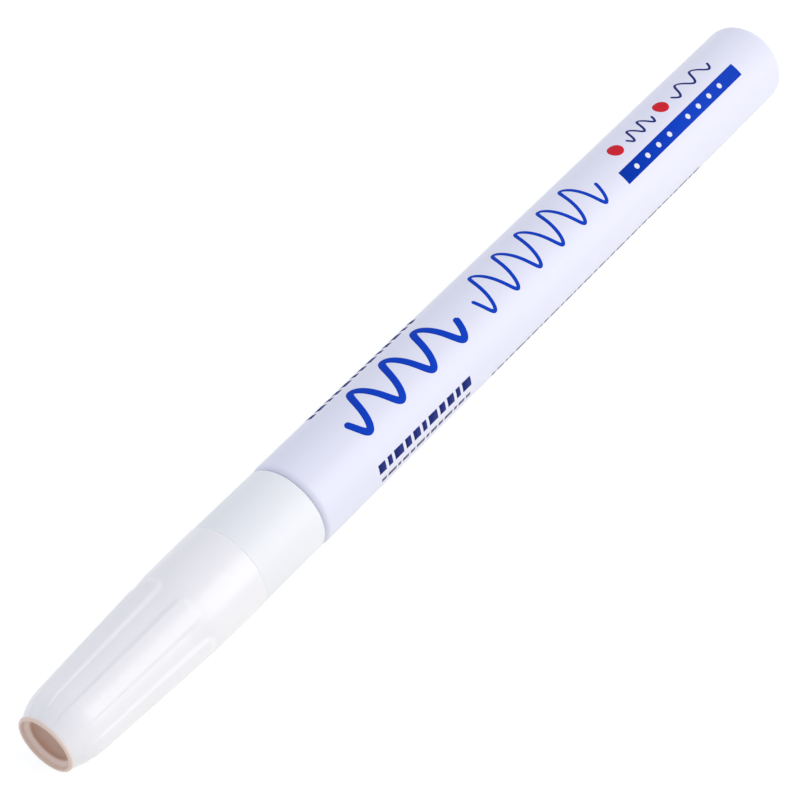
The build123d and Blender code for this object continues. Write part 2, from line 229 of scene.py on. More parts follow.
def add_socket(group, name, direction, kind="NodeSocketFloat"):
    """Give a node group a named socket."""
    group.interface.new_socket(name=name, in_out=direction, socket_type=kind)


skin = bpy.data.node_groups.new("surface_skin", "ShaderNodeTree")
add_socket(skin, "Vector", "INPUT", "NodeSocketVector")
add_socket(skin, "Ripple Scale", "INPUT")
add_socket(skin, "Patch Scale", "INPUT")
add_socket(skin, "Ripple", "OUTPUT")
add_socket(skin, "Patch", "OUTPUT")
skin_in = skin.nodes.new("NodeGroupInput")
skin_out = skin.nodes.new("NodeGroupOutput")
for output, scale, detail in (("Ripple", "Ripple Scale", 2), ("Patch", "Patch Scale", 4)):
    noise = skin.nodes.new("ShaderNodeTexNoise")
    noise.inputs["Detail"].default_value = detail
    skin.links.new(skin_in.outputs["Vector"], noise.inputs["Vector"])
    skin.links.new(skin_in.outputs[scale], noise.inputs["Scale"])
    skin.links.new(noise.outputs["Fac"], skin_out.inputs[output])
print("group", skin.name, "gives", [item.name for item in skin.interface.items_tree])

# %% [markdown]
# A finish is a Principled shader with the skin group plugged into it: the patches shift the colour
# and the gloss between two near values, and the ripple feeds a bump. Grain that runs along the pen,
# as in drawn or moulded pieces, comes from squeezing the coordinates before they reach the noise.

# %% Building a finish


def make_finish(
    name, pale, dark, gloss, ripple_size, patch_size, depth, along=1.0, metal=0.0, ior=1.5,
):
    """A material between two colours; gloss is (low, high) roughness, sizes and depth are in mm."""
    material = bpy.data.materials.new(name)
    material.use_nodes = True
    material.diffuse_color = (*pale, 1)
    nodes, links = material.node_tree.nodes, material.node_tree.links
    shader = nodes["Principled BSDF"]
    shader.inputs["Metallic"].default_value = metal
    shader.inputs["IOR"].default_value = ior
    place = nodes.new("ShaderNodeTexCoord")
    stretch = nodes.new("ShaderNodeMapping")
    stretch.inputs["Scale"].default_value = (along, 1, 1)
    surface = nodes.new("ShaderNodeGroup")
    surface.node_tree = skin
    surface.inputs["Ripple Scale"].default_value = 1 / (ripple_size * mm)
    surface.inputs["Patch Scale"].default_value = 1 / (patch_size * mm)
    colour = nodes.new("ShaderNodeMix")
    colour.name = "skin_colour"
    colour.data_type = "RGBA"
    colour.inputs["A"].default_value = (*dark, 1)
    colour.inputs["B"].default_value = (*pale, 1)
    roughness = nodes.new("ShaderNodeMapRange")
    roughness.inputs["To Min"].default_value = gloss[0]
    roughness.inputs["To Max"].default_value = gloss[1]
    bump = nodes.new("ShaderNodeBump")
    bump.inputs["Distance"].default_value = depth * mm
    links.new(place.outputs["Object"], stretch.inputs["Vector"])
    links.new(stretch.outputs["Vector"], surface.inputs["Vector"])
    links.new(surface.outputs["Patch"], colour.inputs["Factor"])
    links.new(colour.outputs["Result"], shader.inputs["Base Color"])
    links.new(surface.outputs["Patch"], roughness.inputs["Value"])
    links.new(roughness.outputs["Result"], shader.inputs["Roughness"])
    links.new(surface.outputs["Ripple"], bump.inputs["Height"])
    links.new(bump.outputs["Normal"], shader.inputs["Normal"])
    print("finish", name)
    return material


# %% [markdown]
# The barrel is a drawn aluminium can in cool white enamel. Its base has a soft edge, and its front lip
# is rolled in over the collar. It is turned from one outline with both walls, and made thinner by the
# film of ink that lies on it, so that the printed barrel keeps its full diameter.

# %% Barrel
ink_film = 0.012
barrel_wall = 0.45
barrel_base = 0.9
barrel_lip_reach = 0.28
barrel_lip_rounding = 0.7
barrel_base_rounding = 1.6
barrel_floor_rounding = 1.0

enamel = make_finish(
    "cool_white_enamel", pale=(0.812, 0.813, 0.925), dark=(0.792, 0.793, 0.905), gloss=(0.34, 0.44),
    ripple_size=0.9, patch_size=14, depth=0.004, ior=1.4,
)
paint_radius = barrel_radius - ink_film
bore_radius = barrel_radius - barrel_wall
lip_radius = bore_radius - barrel_lip_reach
barrel_wire = outline_wire((
    (barrel_front, lip_radius),
    (barrel_front, paint_radius, barrel_lip_rounding),
    (barrel_rear, paint_radius, barrel_base_rounding),
    (barrel_rear, 0),
    (barrel_rear - barrel_base, 0),
    (barrel_rear - barrel_base, bore_radius, barrel_floor_rounding),
    (barrel_front + barrel_wall, bore_radius),
    (barrel_front + barrel_wall, lip_radius),
), segments=10)
make_piece(
    spin_wire(barrel_wire), "enamelled_barrel", "pen", enamel, "barrel_tube",
)

# %% [markdown]
# The print is plain decoration: a stroke that swings to and fro and changes from broad to fine, as a
# line drawn with the marker would, a bar, dots, and rows of dashes. Each ink is a finish of its own,
# and all marks in one ink gather in one bmesh. White is printed last, on top of the blue.

# %% Inks


def ink(name, colour, shade):
    """A screen-printed ink with a slightly uneven lay."""
    return make_finish(
        name, colour, shade, gloss=(0.5, 0.6), ripple_size=0.25, patch_size=3, depth=0.002, ior=1.15,
    )


inks = {
    "blue": ink("blue_ink", (0.002, 0.055, 0.56), (0.002, 0.046, 0.49)),
    "navy": ink("navy_ink", (0.016, 0.03, 0.21), (0.012, 0.024, 0.17)),
    "red": ink("red_ink", (0.72, 0.02, 0.035), (0.62, 0.014, 0.026)),
    "white": ink("white_ink", (0.86, 0.86, 0.92), (0.82, 0.82, 0.89)),
    "grey": ink("grey_ink", (0.14, 0.14, 0.22), (0.11, 0.11, 0.18)),
}
print_beds = {name: bmesh.new() for name in inks}
ink_level = {name: 0.0 for name in inks}
ink_level["white"] = ink_film / 2
print("inks", sorted(inks))

# %% [markdown]
# Every mark starts as a flat grid. Each of its points is placed by a station along the barrel and an
# angle round it, then wrapped on the enamel. So a mark is just a rule that says where a point goes,
# given how far along the mark it is and how far across.

# %% Wrapping a grid on the barrel
degrees_per_mm = math.degrees(1 / barrel_radius)


def wrap(station, angle, level):
    """A point on the barrel; the angle is in degrees from the top towards the near side."""
    turn = math.radians(angle)
    radius = (barrel_radius - ink_film / 2 + level) * mm
    return Vector((
        pen_low.x + station * mm,
        -radius * math.sin(turn),
        axis_height + radius * math.cos(turn),
    ))


def print_mark(colour, place, length_steps, width_steps):
    """Wrap a grid whose points run from 0 to 1 along and from -1 to 1 across."""
    grid = bmesh.ops.create_grid(
        print_beds[colour], x_segments=length_steps, y_segments=width_steps, size=1,
    )
    for vert in grid["verts"]:
        station, angle = place((vert.co.x + 1) / 2, vert.co.y)
        vert.co = wrap(station, angle, ink_level[colour])


print("a millimetre of arc is", round(degrees_per_mm, 2), "degrees")

# %% [markdown]
# Three marks are simple. A bar fills a stretch between two stations and two angles, a dot narrows
# its grid to a point at both ends, and a row of dashes is a run of bars whose lengths repeat.

# %% Bars, dots and dashes


def print_bar(colour, start, end, low_angle, high_angle):
    """A plain bar between two stations and two angles."""
    def place(along, across):
        middle = (low_angle + high_angle) / 2
        return start + (end - start) * along, middle + across * (high_angle - low_angle) / 2
    print_mark(colour, place, length_steps=2, width_steps=10)


def print_dot(colour, station, angle, diameter):
    """A round dot."""
    def place(along, across):
        half = diameter / 2 * math.sin(math.pi * along)
        middle = station - diameter / 2 * math.cos(math.pi * along)
        return middle, angle + across * half * degrees_per_mm
    print_mark(colour, place, length_steps=24, width_steps=6)


def print_dashes(colour, start, end, angle, height, lengths, gap):
    """A row of dashes whose lengths follow a short cycle."""
    half = height / 2 * degrees_per_mm
    at, count = start, 0
    while at + lengths[count % len(lengths)] <= end:
        length = lengths[count % len(lengths)]
        print_bar(colour, at, at + length, angle - half, angle + half)
        at += length + gap
        count += 1
    print("row of", count, colour, "dashes")


# %% [markdown]
# The fourth mark is a stroke that swings. Its middle line is a sine, and its edges lie half a width
# to both sides, square to that line, so the stroke keeps its width in the steep parts. Near both ends
# the half width follows a circle, which rounds them off.

# %% A swinging stroke
steps_per_swing = 90


def print_swing(colour, start, end, middle, reach, swings, width):
    """A stroke of even width with round ends that swings about an angle, reach in mm."""
    span = end - start
    rate = swings * math.tau / span

    def place(along, across):
        way = span * along
        slope = reach * rate * math.cos(rate * way)
        steep = math.hypot(1, slope)
        edge = min(way, span - way) * steep / (width / 2)
        half = width / 2 * math.sqrt(max(0.0, 1 - max(0.0, 1 - edge) ** 2))
        station = start + way - across * half * slope / steep
        arc = reach * math.sin(rate * way) + across * half / steep
        return station, middle + arc * degrees_per_mm
    print_mark(colour, place, length_steps=round(steps_per_swing * swings), width_steps=4)
    print("stroke of", swings, "swings in", colour)


# %% [markdown]
# The broad and the fine swing fill the middle of the printed side. The bar with its row of dots sits
# near the base, beside a finer swing with two red dots, and small dashes run along both edges.

# %% The marks
print_swing("blue", start=52.7, end=75.0, middle=5, reach=2.75, swings=3.5, width=1.0)
print_swing("blue", start=78.5, end=106.0, middle=5, reach=2.95, swings=5.5, width=0.55)

bar_low_angle, bar_high_angle = 17.8, 37.8
bar_middle = (bar_low_angle + bar_high_angle) / 2
bar_dot_pitch = 2.65
print_bar("blue", start=109.65, end=137.65, low_angle=bar_low_angle, high_angle=bar_high_angle)
for group_start in (112.7, 125.2):
    for index in range(4):
        print_dot("white", group_start + index * bar_dot_pitch, bar_middle, diameter=0.8)

badge_angle = -8
for dot_station, start, end in ((113.0, 115.4, 121.6), (124.0, 126.4, 135.6)):
    print_dot("red", dot_station, badge_angle, diameter=2.3)
    print_swing("navy", start, end, badge_angle, reach=1.0, swings=2.5, width=0.36)

print_dashes("navy", 52.6, 72.0, angle=77, height=1.4, lengths=(1.3, 0.8, 1.7, 1.1), gap=0.5)
print_dashes("grey", 53.0, 72.0, angle=97, height=0.6, lengths=(0.9, 1.6, 0.6, 1.2), gap=0.35)
print_dashes("grey", 76.0, 125.0, angle=108, height=0.6, lengths=(0.8, 1.5, 0.5, 1.1, 2.0), gap=0.35)
print_dashes("navy", 52.2, 74.0, angle=-50, height=1.6, lengths=(1.0, 1.4, 0.8), gap=0.6)

# %% [markdown]
# A thin solidify makes each ink a real film, so that its edges stay sharp at any distance. It needs
# faces that point away from the barrel, and loose patches may point either way, so they are turned.

# %% Films of ink
for ink_name, bed in print_beds.items():
    bmesh.ops.recalc_face_normals(bed, faces=bed.faces[:])
    outward = sum(face.normal.dot(face.calc_center_median() - aim) for face in bed.faces)
    if outward < 0:
        bmesh.ops.reverse_faces(bed, faces=bed.faces[:])
    film = make_piece(bed, "print_" + ink_name, "pen", inks[ink_name])
    solid = film.modifiers.new("ink_film", "SOLIDIFY")
    solid.thickness = ink_film * mm / 2
    solid.offset = 0

# %% [markdown]
# The collar is a smooth white moulding between barrel and cap. Its rear edge is rounded, which leaves
# the fine dark line in front of the barrel's lip. Under the cap it carries on as a seat with a snap
# bead, so the same outline is right with the cap off. First come the sizes.

# %% Collar and seat sizes
seam_gap, rim_gap, collar_inset = 0.02, 0.2, 0.1
collar_front = cap_mouth + seam_gap
collar_rear = barrel_front - rim_gap
collar_radius = barrel_radius - collar_inset
collar_front_rounding, collar_rear_rounding = 0.06, 0.4
seat_radius, seat_length, seat_rounding = 4.95, 6.7, 0.35
seat_front = collar_front - seat_length
bead_distance, bead_height, bead_half_width, bead_rounding = 3.2, 0.1, 0.6, 1.2
bead_station = collar_front - bead_distance
print("collar from", round(collar_front, 2), "to", round(collar_rear, 2))

# %% [markdown]
# Inside the barrel the collar is a spigot, pushed in with a hair of clearance, with a groove for the
# gasket. Its bores hold the valve, let the paint through, and take the plug of the nose.

# %% Spigot and bore sizes
push_gap, lip_clearance = 0.03, 0.05
spigot_length, spigot_front_rounding, spigot_rear_rounding = 10.2, 0.2, 0.3
spigot_front = barrel_front + barrel_lip_rounding + lip_clearance
spigot_rear = spigot_front + spigot_length
spigot_radius = bore_radius - push_gap
groove_distance, groove_width, groove_depth = 4.4, 1.2, 0.75
groove_rear = spigot_rear - groove_distance
groove_front = groove_rear - groove_width
groove_radius = spigot_radius - groove_depth
neck_radius = lip_radius - push_gap
valve_bore_radius, valve_bore_depth = 4.1, 9.0
valve_shoulder = spigot_rear - valve_bore_depth
passage_radius = 3.1
socket_radius, socket_depth = 3.63, 6.25
socket_floor = seat_front + socket_depth
print("spigot from", round(spigot_front, 2), "to", round(spigot_rear, 2))

# %% [markdown]
# The outline starts at the socket for the nose, runs along the outside to the end of the spigot, and
# comes back through the bore for the valve and the passage for the paint.

# %% Front collar
collar_white = make_finish(
    "white_collar_plastic", pale=(0.87, 0.88, 0.9), dark=(0.85, 0.86, 0.88), gloss=(0.34, 0.44),
    ripple_size=1.4, patch_size=9, depth=0.006, along=0.5, ior=1.4,
)
collar_wire = outline_wire((
    (seat_front, socket_radius),
    (seat_front, seat_radius, seat_rounding),
    (bead_station - bead_half_width, seat_radius),
    (bead_station, seat_radius + bead_height, bead_rounding),
    (bead_station + bead_half_width, seat_radius),
    (collar_front, seat_radius),
    (collar_front, collar_radius, collar_front_rounding),
    (collar_rear, collar_radius, collar_rear_rounding),
    (collar_rear, neck_radius),
    (spigot_front, neck_radius),
    (spigot_front, spigot_radius, spigot_front_rounding),
    (groove_front, spigot_radius),
    (groove_front, groove_radius),
    (groove_rear, groove_radius),
    (groove_rear, spigot_radius),
    (spigot_rear, spigot_radius, spigot_rear_rounding),
    (spigot_rear, valve_bore_radius),
    (valve_shoulder, valve_bore_radius),
    (valve_shoulder, passage_radius),
    (socket_floor, passage_radius),
    (socket_floor, socket_radius),
))
make_piece(
    spin_wire(collar_wire), "white_front_collar", "pen", collar_white, "front_collar",
)

# %% [markdown]
# The cap is the piece that the hand knows: a plain band at its mouth, then a tapered grip with six
# long ribs, and a round shoulder at its end. Its white plastic is a little translucent, so light
# spreads below the skin and softens every edge. A small subsurface scale gives that look.

# %% Cap plastic
light_spread = 0.35
cap_white = make_finish(
    "white_cap_plastic", pale=(0.89, 0.877, 0.89), dark=(0.87, 0.857, 0.87), gloss=(0.25, 0.33),
    ripple_size=1.2, patch_size=8, depth=0.006, along=0.5, ior=1.56,
)
cap_shader = cap_white.node_tree.nodes["Principled BSDF"]
cap_shader.inputs["Subsurface Weight"].default_value = 0.5
cap_shader.inputs["Subsurface Radius"].default_value = (1.0, 0.9, 0.9)
cap_shader.inputs["Subsurface Scale"].default_value = light_spread * mm
print("light spreads by about", light_spread, "mm")

# %% [markdown]
# The cap's sizes are worked out from its mouth and its end. Along the grip and along the band the
# outside is a straight slope, so two small helpers give the radius at any station of them.

# %% Cap sizes
cap_inset, mouth_wall, cap_bore_depth = 0.02, 0.88, 7.0
cap_band_radius = barrel_radius - cap_inset
cap_bore_radius = cap_band_radius - mouth_wall
cap_bore_front = cap_mouth - cap_bore_depth
band_length, band_taper = 8.95, 0.13
band_front = cap_mouth - band_length
band_front_radius = cap_band_radius - band_taper
band_slope = (cap_band_radius - band_front_radius) / (cap_mouth - band_front)
step_length, step_height = 1.0, 0.29
grip_rear = band_front - step_length
grip_rear_radius = band_front_radius - step_height
shoulder_length, shoulder_fall = 2.6, 0.925
grip_taper = 0.835
grip_front = shell_front + shoulder_length
grip_front_radius = grip_rear_radius - grip_taper
grip_slope = (grip_rear_radius - grip_front_radius) / (grip_rear - grip_front)
shoulder_radius = grip_front_radius - shoulder_fall
shoulder_slope = (grip_front_radius - shoulder_radius) / (grip_front - shell_front)
cap_wall, cap_end_wall, liner_ledge = 0.9, 1.6, 0.34
cavity_radius = grip_front_radius - cap_wall
cap_end_rear = shell_front + cap_end_wall
liner_hole_radius = cavity_radius - liner_ledge


def grip_radius(station):
    """The grip's radius between its ribs."""
    return grip_front_radius + grip_slope * (station - grip_front)


def band_radius(station):
    """The radius of the slightly tapered band at the cap's mouth."""
    return cap_band_radius - band_slope * (cap_mouth - station)


print("grip from", round(grip_front, 2), "to", round(grip_rear, 2))

# %% [markdown]
# The outline runs over the outside from the shoulder to the mouth, and back through the bore with the
# groove for the snap bead. Large roundings make the shoulder full, and let the valleys between the
# ribs rise to the band without a hard step.

# %% Cap outline
even_front, even_rear = 6.0, 17.0
rise_lead, rise_trail = 2.0, 0.6
rise_front, rise_rear = grip_rear - rise_lead, band_front + rise_trail
rise_rounding = 15.0
shoulder_rounding = 10.0
shoulder_edge_rounding = 0.1
mouth_rounding = 0.12
cavity_rounding = 0.25

cap_wire = outline_wire((
    (shell_front, liner_hole_radius),
    (shell_front, shoulder_radius, shoulder_edge_rounding),
    (grip_front, grip_front_radius, shoulder_rounding),
    (even_front, grip_radius(even_front)),
    (even_rear, grip_radius(even_rear)),
    (rise_front, grip_radius(rise_front), rise_rounding),
    (rise_rear, band_radius(rise_rear), rise_rounding),
    (cap_mouth, cap_band_radius, mouth_rounding),
    (cap_mouth, cap_bore_radius),
    (bead_station + 2 * bead_half_width, cap_bore_radius),
    (bead_station + bead_half_width, cap_bore_radius + bead_height),
    (bead_station - bead_half_width, cap_bore_radius + bead_height),
    (bead_station - 2 * bead_half_width, cap_bore_radius),
    (cap_bore_front, cap_bore_radius),
    (cap_bore_front, cavity_radius + grip_slope * (cap_bore_front - grip_front)),
    (cap_end_rear, cavity_radius, cavity_rounding),
    (cap_end_rear, liner_hole_radius),
))
print("outline with", len(cap_wire.verts), "points")

# %% [markdown]
# The ribs will be raised from this wall by moving its points, so the outside needs many rows of them:
# fine ones where a rib starts and ends, and longer ones on the even stretch between. The edges of
# the wire are divided before the spin, which then makes the rows.

# %% Rows for the ribs
zone_lead, zone_trail = 0.3, 1.2
rib_zone_front, rib_zone_rear = shell_front + zone_lead, band_front + zone_trail
shoulder_wall_half = 0.2
fine_row, even_row = 0.18, 0.9
cap_spin_steps = 480


def on_outside(station, radius):
    """True on the outside of the shoulder and grip, which the ribs rise from."""
    shoulder_outside = shoulder_radius + shoulder_slope * (station - shell_front)
    wall_middle = min(grip_radius(station) - cap_wall / 2, shoulder_outside - shoulder_wall_half)
    return rib_zone_front < station < rib_zone_rear and radius > wall_middle


def outer_wall(vert):
    """The same for a point of the wire, which stands straight above the axis."""
    return on_outside(station_of(vert.co.x), (vert.co.z - axis_height) / mm)


for edge in [edge for edge in cap_wire.edges if all(outer_wall(vert) for vert in edge.verts)]:
    middle = station_of(sum(vert.co.x for vert in edge.verts) / 2)
    row_height = even_row if even_front < middle < even_rear else fine_row
    rows = math.ceil(edge.calc_length() / mm / row_height)
    if rows > 1:
        bmesh.ops.subdivide_edges(cap_wire, edges=[edge], cuts=rows - 1)
cap_mesh = spin_wire(cap_wire, steps=cap_spin_steps)
print("cap wall with", len(cap_mesh.verts), "points")

# %% [markdown]
# Seen from above, a rib is a long shape with two round ends of different size. The distance of a
# point from that outline is known exactly: it is that from one of the two end circles, or from the
# straight side that touches both.

# %% Outline of a rib
rib_overrun = 1.15
rib_front_end = 0.9
rib_rear_end = grip_rear + rib_overrun
rib_front_half = 1.4
rib_rear_half = 1.66


def rib_distance(along, across):
    """Distance outside a rib's outline, in mm; less than 0 is inside it."""
    first = rib_front_end + rib_front_half
    run = rib_rear_end - rib_rear_half - first
    lean = (rib_front_half - rib_rear_half) / run
    upright = math.sqrt(1 - lean * lean)
    side, way = abs(across), along - first
    reach = upright * way - lean * side
    if reach < 0:
        return math.hypot(side, way) - rib_front_half
    if reach > upright * run:
        return math.hypot(side, way - run) - rib_rear_half
    return side * upright + way * lean - rib_front_half


print("ribs from", rib_front_end, "to", round(rib_rear_end, 2))

# %% [markdown]
# A rib's crown grows in height from the shoulder to the band, and its last millimetre falls to it.
# Its flanks are narrow in front and wider to the rear, which keeps them soft where the rib is high.

# %% Height and flanks of a rib
rib_front_height = 0.17
rib_rear_height = 0.37
rib_rear_fall = 1.0
rib_front_flank = 0.3
rib_rear_flank = 0.8
rib_end_flank = 0.6


def clamp(value):
    """Keep a value between 0 and 1."""
    return max(0.0, min(1.0, value))


def ease(value):
    """A smooth step from 0 to 1."""
    value = clamp(value)
    return value * value * (3 - 2 * value)


def rib_rise(station, radius):
    """Height of a rib's crown above a point of the cap."""
    front_share = clamp((station - shell_front) / (grip_front - shell_front))
    rear_share = max(0.0, (station - grip_front) / (grip_rear - grip_front))
    height = rib_front_height * front_share + (rib_rear_height - rib_front_height) * rear_share
    if station < even_rear:
        return height
    fall = ease((rib_rear_end - station) / rib_rear_fall)
    return max(0.0, grip_radius(station) + height - radius) * fall


def rib_flank(station):
    """Width of a rib's flank, from its foot to its crown."""
    rear_share = clamp((station - grip_front) / (grip_rear - grip_front))
    end_share = ease((station - rib_rear_end) / rib_rear_half + 1)
    flank = rib_front_flank + (rib_rear_flank - rib_front_flank) * rear_share
    return flank + (rib_end_flank - flank) * end_share


print("ribs stand", rib_front_height, "to", rib_rear_height, "mm proud")

# %% [markdown]
# Cutting and bevelling faces would leave flat spots in such soft forms. So each point of the outside
# is pushed away from the axis instead, by the rib's height there, eased over the width of its flank.

# %% Raising the ribs
rib_count = 6
rib_turn = math.radians(3)
rib_pitch = math.tau / rib_count
raised = 0
for vert in cap_mesh.verts:
    spoke = Vector((0, vert.co.y, vert.co.z - axis_height))
    station, radius = station_of(vert.co.x), spoke.length / mm
    if not on_outside(station, radius):
        continue
    turn = (math.atan2(-spoke.y, spoke.z) - rib_turn) % rib_pitch - rib_pitch / 2
    outside = rib_distance(station, radius * turn)
    lift = rib_rise(station, radius) * ease(0.5 - outside / rib_flank(station))
    vert.co += spoke.normalized() * lift * mm
    raised += lift > 0
print("rib points", raised)
make_piece(cap_mesh, "ribbed_cap", "cap", cap_white, "cap_shell")

# %% [markdown]
# A tan plug closes the end of the cap. What shows is its thin round lip and the dish inside it, which
# has a steep wall behind the lip and then slopes to a flat floor. The steep wall is what makes the
# lip look thin, so the dish gets a corner of its own between lip and floor.

# %% Lip and dish sizes
liner_low, liner_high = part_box("inner_cap")
liner_front, liner_rear = station_of(liner_low.x), station_of(liner_high.x)
lip_width, lip_outer_rounding, lip_inner_rounding = 0.4, 0.3, 0.09
lip_outer_radius = (liner_high.z - liner_low.z) / 2 / mm
lip_inner_radius = lip_outer_radius - lip_width
lip_rear = shell_front - push_gap
dish_wall_depth, dish_wall_inset, dish_wall_rounding = 0.5, 0.5, 0.3
dish_wall_end = liner_front + dish_wall_depth
dish_wall_radius = lip_outer_radius - dish_wall_inset
dish_depth, dish_floor_inset = 1.0, 1.15
dish_floor = liner_front + dish_depth
dish_floor_radius = lip_outer_radius - dish_floor_inset
print("dish of", dish_depth, "mm depth")

# %% [markdown]
# Behind the lip the plug is a sleeve that goes through the cap's end wall and seals round the nose. A
# barb holds it behind that wall. One outline has the lip, the sleeve and the dish.

# %% Liner outline
liner_rounding, liner_floor_wall, sleeve_wall = 0.2, 0.65, 0.8
liner_radius = liner_hole_radius - push_gap
sleeve_radius = liner_radius - sleeve_wall
sleeve_floor = dish_floor + liner_floor_wall
barb_height, barb_length = 0.2, 0.8
barb_front = cap_end_rear + push_gap

liner_wire = outline_wire((
    (liner_front, lip_inner_radius, lip_inner_rounding),
    (liner_front, lip_outer_radius, lip_outer_rounding),
    (lip_rear, lip_outer_radius),
    (lip_rear, liner_radius),
    (barb_front, liner_radius),
    (barb_front, liner_radius + barb_height),
    (barb_front + barb_length, liner_radius),
    (liner_rear, liner_radius, liner_rounding),
    (liner_rear, sleeve_radius, liner_rounding),
    (sleeve_floor, sleeve_radius, liner_rounding),
    (sleeve_floor, 0),
    (dish_floor, 0),
    (dish_floor, dish_floor_radius, liner_rounding),
    (dish_wall_end, dish_wall_radius, dish_wall_rounding),
), segments=8)
print("outline with", len(liner_wire.verts), "points")
print("dish of", dish_depth, "mm depth")

# %% [markdown]
# The tan plastic has the shared skin, and the floor of the dish is painted darker, as painted shade
# for the dim light in the recess. A smooth mask along the pen picks out the floor, and multiplies the
# finish there by a brown painted shade. The mask ends where the slope meets the floor, and nothing
# behind that shows.

# %% Liner with painted shade in its dish
# painted shade: how far the darkening of the dish floor runs up the slope, in mm
dish_shade_run = 0.25
painted_shade_brown = (0.55, 0.39, 0.32, 1)
liner_tan = make_finish(
    "tan_liner_plastic", pale=(0.85, 0.67, 0.57), dark=(0.81, 0.63, 0.53), gloss=(0.28, 0.36),
    ripple_size=0.8, patch_size=3, depth=0.008,
)
nodes, links = liner_tan.node_tree.nodes, liner_tan.node_tree.links
place = nodes.new("ShaderNodeTexCoord")
split = nodes.new("ShaderNodeSeparateXYZ")
dish_shade_mask = nodes.new("ShaderNodeMapRange")
dish_shade_mask.interpolation_type = "SMOOTHSTEP"
dish_shade_mask.inputs["From Min"].default_value = pen_low.x + (dish_floor - dish_shade_run) * mm
dish_shade_mask.inputs["From Max"].default_value = pen_low.x + dish_floor * mm
# painted shade: multiplying by brown darkens the dish floor, where the recess is in shade
painted_shade = nodes.new("ShaderNodeMix")
painted_shade.data_type = "RGBA"
painted_shade.blend_type = "MULTIPLY"
painted_shade.inputs["B"].default_value = painted_shade_brown
links.new(place.outputs["Object"], split.inputs["Vector"])
links.new(split.outputs["X"], dish_shade_mask.inputs["Value"])
links.new(dish_shade_mask.outputs["Result"], painted_shade.inputs["Factor"])
links.new(nodes["skin_colour"].outputs["Result"], painted_shade.inputs["A"])
links.new(painted_shade.outputs["Result"], nodes["Principled BSDF"].inputs["Base Color"])
make_piece(spin_wire(liner_wire), "tan_cap_liner", "cap", liner_tan, "inner_cap")

# %% [markdown]
# With the cap off, the nose shows: a plain cone that guides the nib, with a land that the liner seals
# on and a flange against the collar. Behind the flange a plug goes into the collar's socket.

# %% Nose sizes
nose_low, nose_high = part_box("nose_cone")
nose_tip, nose_rear = station_of(nose_low.x), station_of(nose_high.x)
nose_tip_radius, nose_rounding = 1.3, 0.3
nib_bore_radius = 0.8
land_reach, land_front_rounding, land_rear_rounding = 7.0, 2.0, 0.15
seal_gap = 0.05
land_front = seat_front - land_reach
land_radius = sleeve_radius - seal_gap
flange_width = 1.0
flange_front = seat_front - flange_width
flange_radius = (nose_high.z - nose_low.z) / 2 / mm
plug_radius = socket_radius - push_gap
chamber_radius, chamber_depth = 1.55, 5.2
chamber_front = nose_rear - chamber_depth
print("nose from", round(nose_tip, 2), "to", round(nose_rear, 2))

# %% [markdown]
# The nose is a small moulding, so it is turned in fewer steps than the barrel. Its plastic is a little
# greyer than the collar's, and its ripple finer.

# %% Nose
nose_steps = 96
nose_white = make_finish(
    "white_nose_plastic", pale=(0.82, 0.83, 0.84), dark=(0.78, 0.79, 0.8), gloss=(0.34, 0.44),
    ripple_size=0.8, patch_size=4, depth=0.006,
)
nose_wire = outline_wire((
    (nose_tip, nib_bore_radius),
    (nose_tip, nose_tip_radius, nose_rounding),
    (land_front, land_radius, land_front_rounding),
    (flange_front, land_radius, land_rear_rounding),
    (flange_front, flange_radius, nose_rounding),
    (seat_front, flange_radius),
    (seat_front, plug_radius),
    (nose_rear, plug_radius, nose_rounding),
    (nose_rear, chamber_radius),
    (chamber_front, chamber_radius),
    (chamber_front, nib_bore_radius),
))
make_piece(
    spin_wire(nose_wire, nose_steps), "nose_piece", "pen", nose_white, "nose_cone",
)

# %% [markdown]
# The nib is a rod of bonded fibre with a round point, so its finish has streaks that run along it. It
# moves with the valve, so it rides on a body of its own.

# %% Nib
nib_low, nib_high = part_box("nib")
nib_front, nib_rear = station_of(nib_low.x), station_of(nib_high.x)
nib_radius = (nib_high.z - nib_low.z) / 2 / mm
nib_point_radius = 0.4
nib_point_rounding = 0.36
nib_taper_length = 3.0
nib_taper_rear = nib_front + nib_taper_length
nib_taper_rounding = 3.0
nib_steps = 48

fibre = make_finish(
    "bonded_nib_fibre", pale=(0.82, 0.81, 0.78), dark=(0.66, 0.65, 0.62), gloss=(0.6, 0.8),
    ripple_size=0.12, patch_size=0.25, depth=0.03, along=0.06,
)
nib_wire = outline_wire((
    (nib_front, 0),
    (nib_front, nib_point_radius, nib_point_rounding),
    (nib_taper_rear, nib_radius, nib_taper_rounding),
    (nib_rear, nib_radius),
    (nib_rear, 0),
))
make_piece(spin_wire(nib_wire, nib_steps), "fibre_nib", "nib_unit", fibre, "nib")

# %% [markdown]
# Inside the collar sits the valve. Its coil spring is one wire, made by spinning a small ring while
# it climbs. A spin leaves both ends of the wire open, so the first and the last ring are filled.

# %% Coil of the valve spring
spring_low, spring_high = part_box("valve_spring")
wire_radius = 0.2
wire_sides = 12
spring_turns = 7
turn_steps = 40
coil_steps = spring_turns * turn_steps
coil_radius = (spring_high.z - spring_low.z) / 2 - wire_radius * mm
coil_length = spring_high.x - spring_low.x - 2 * wire_radius * mm

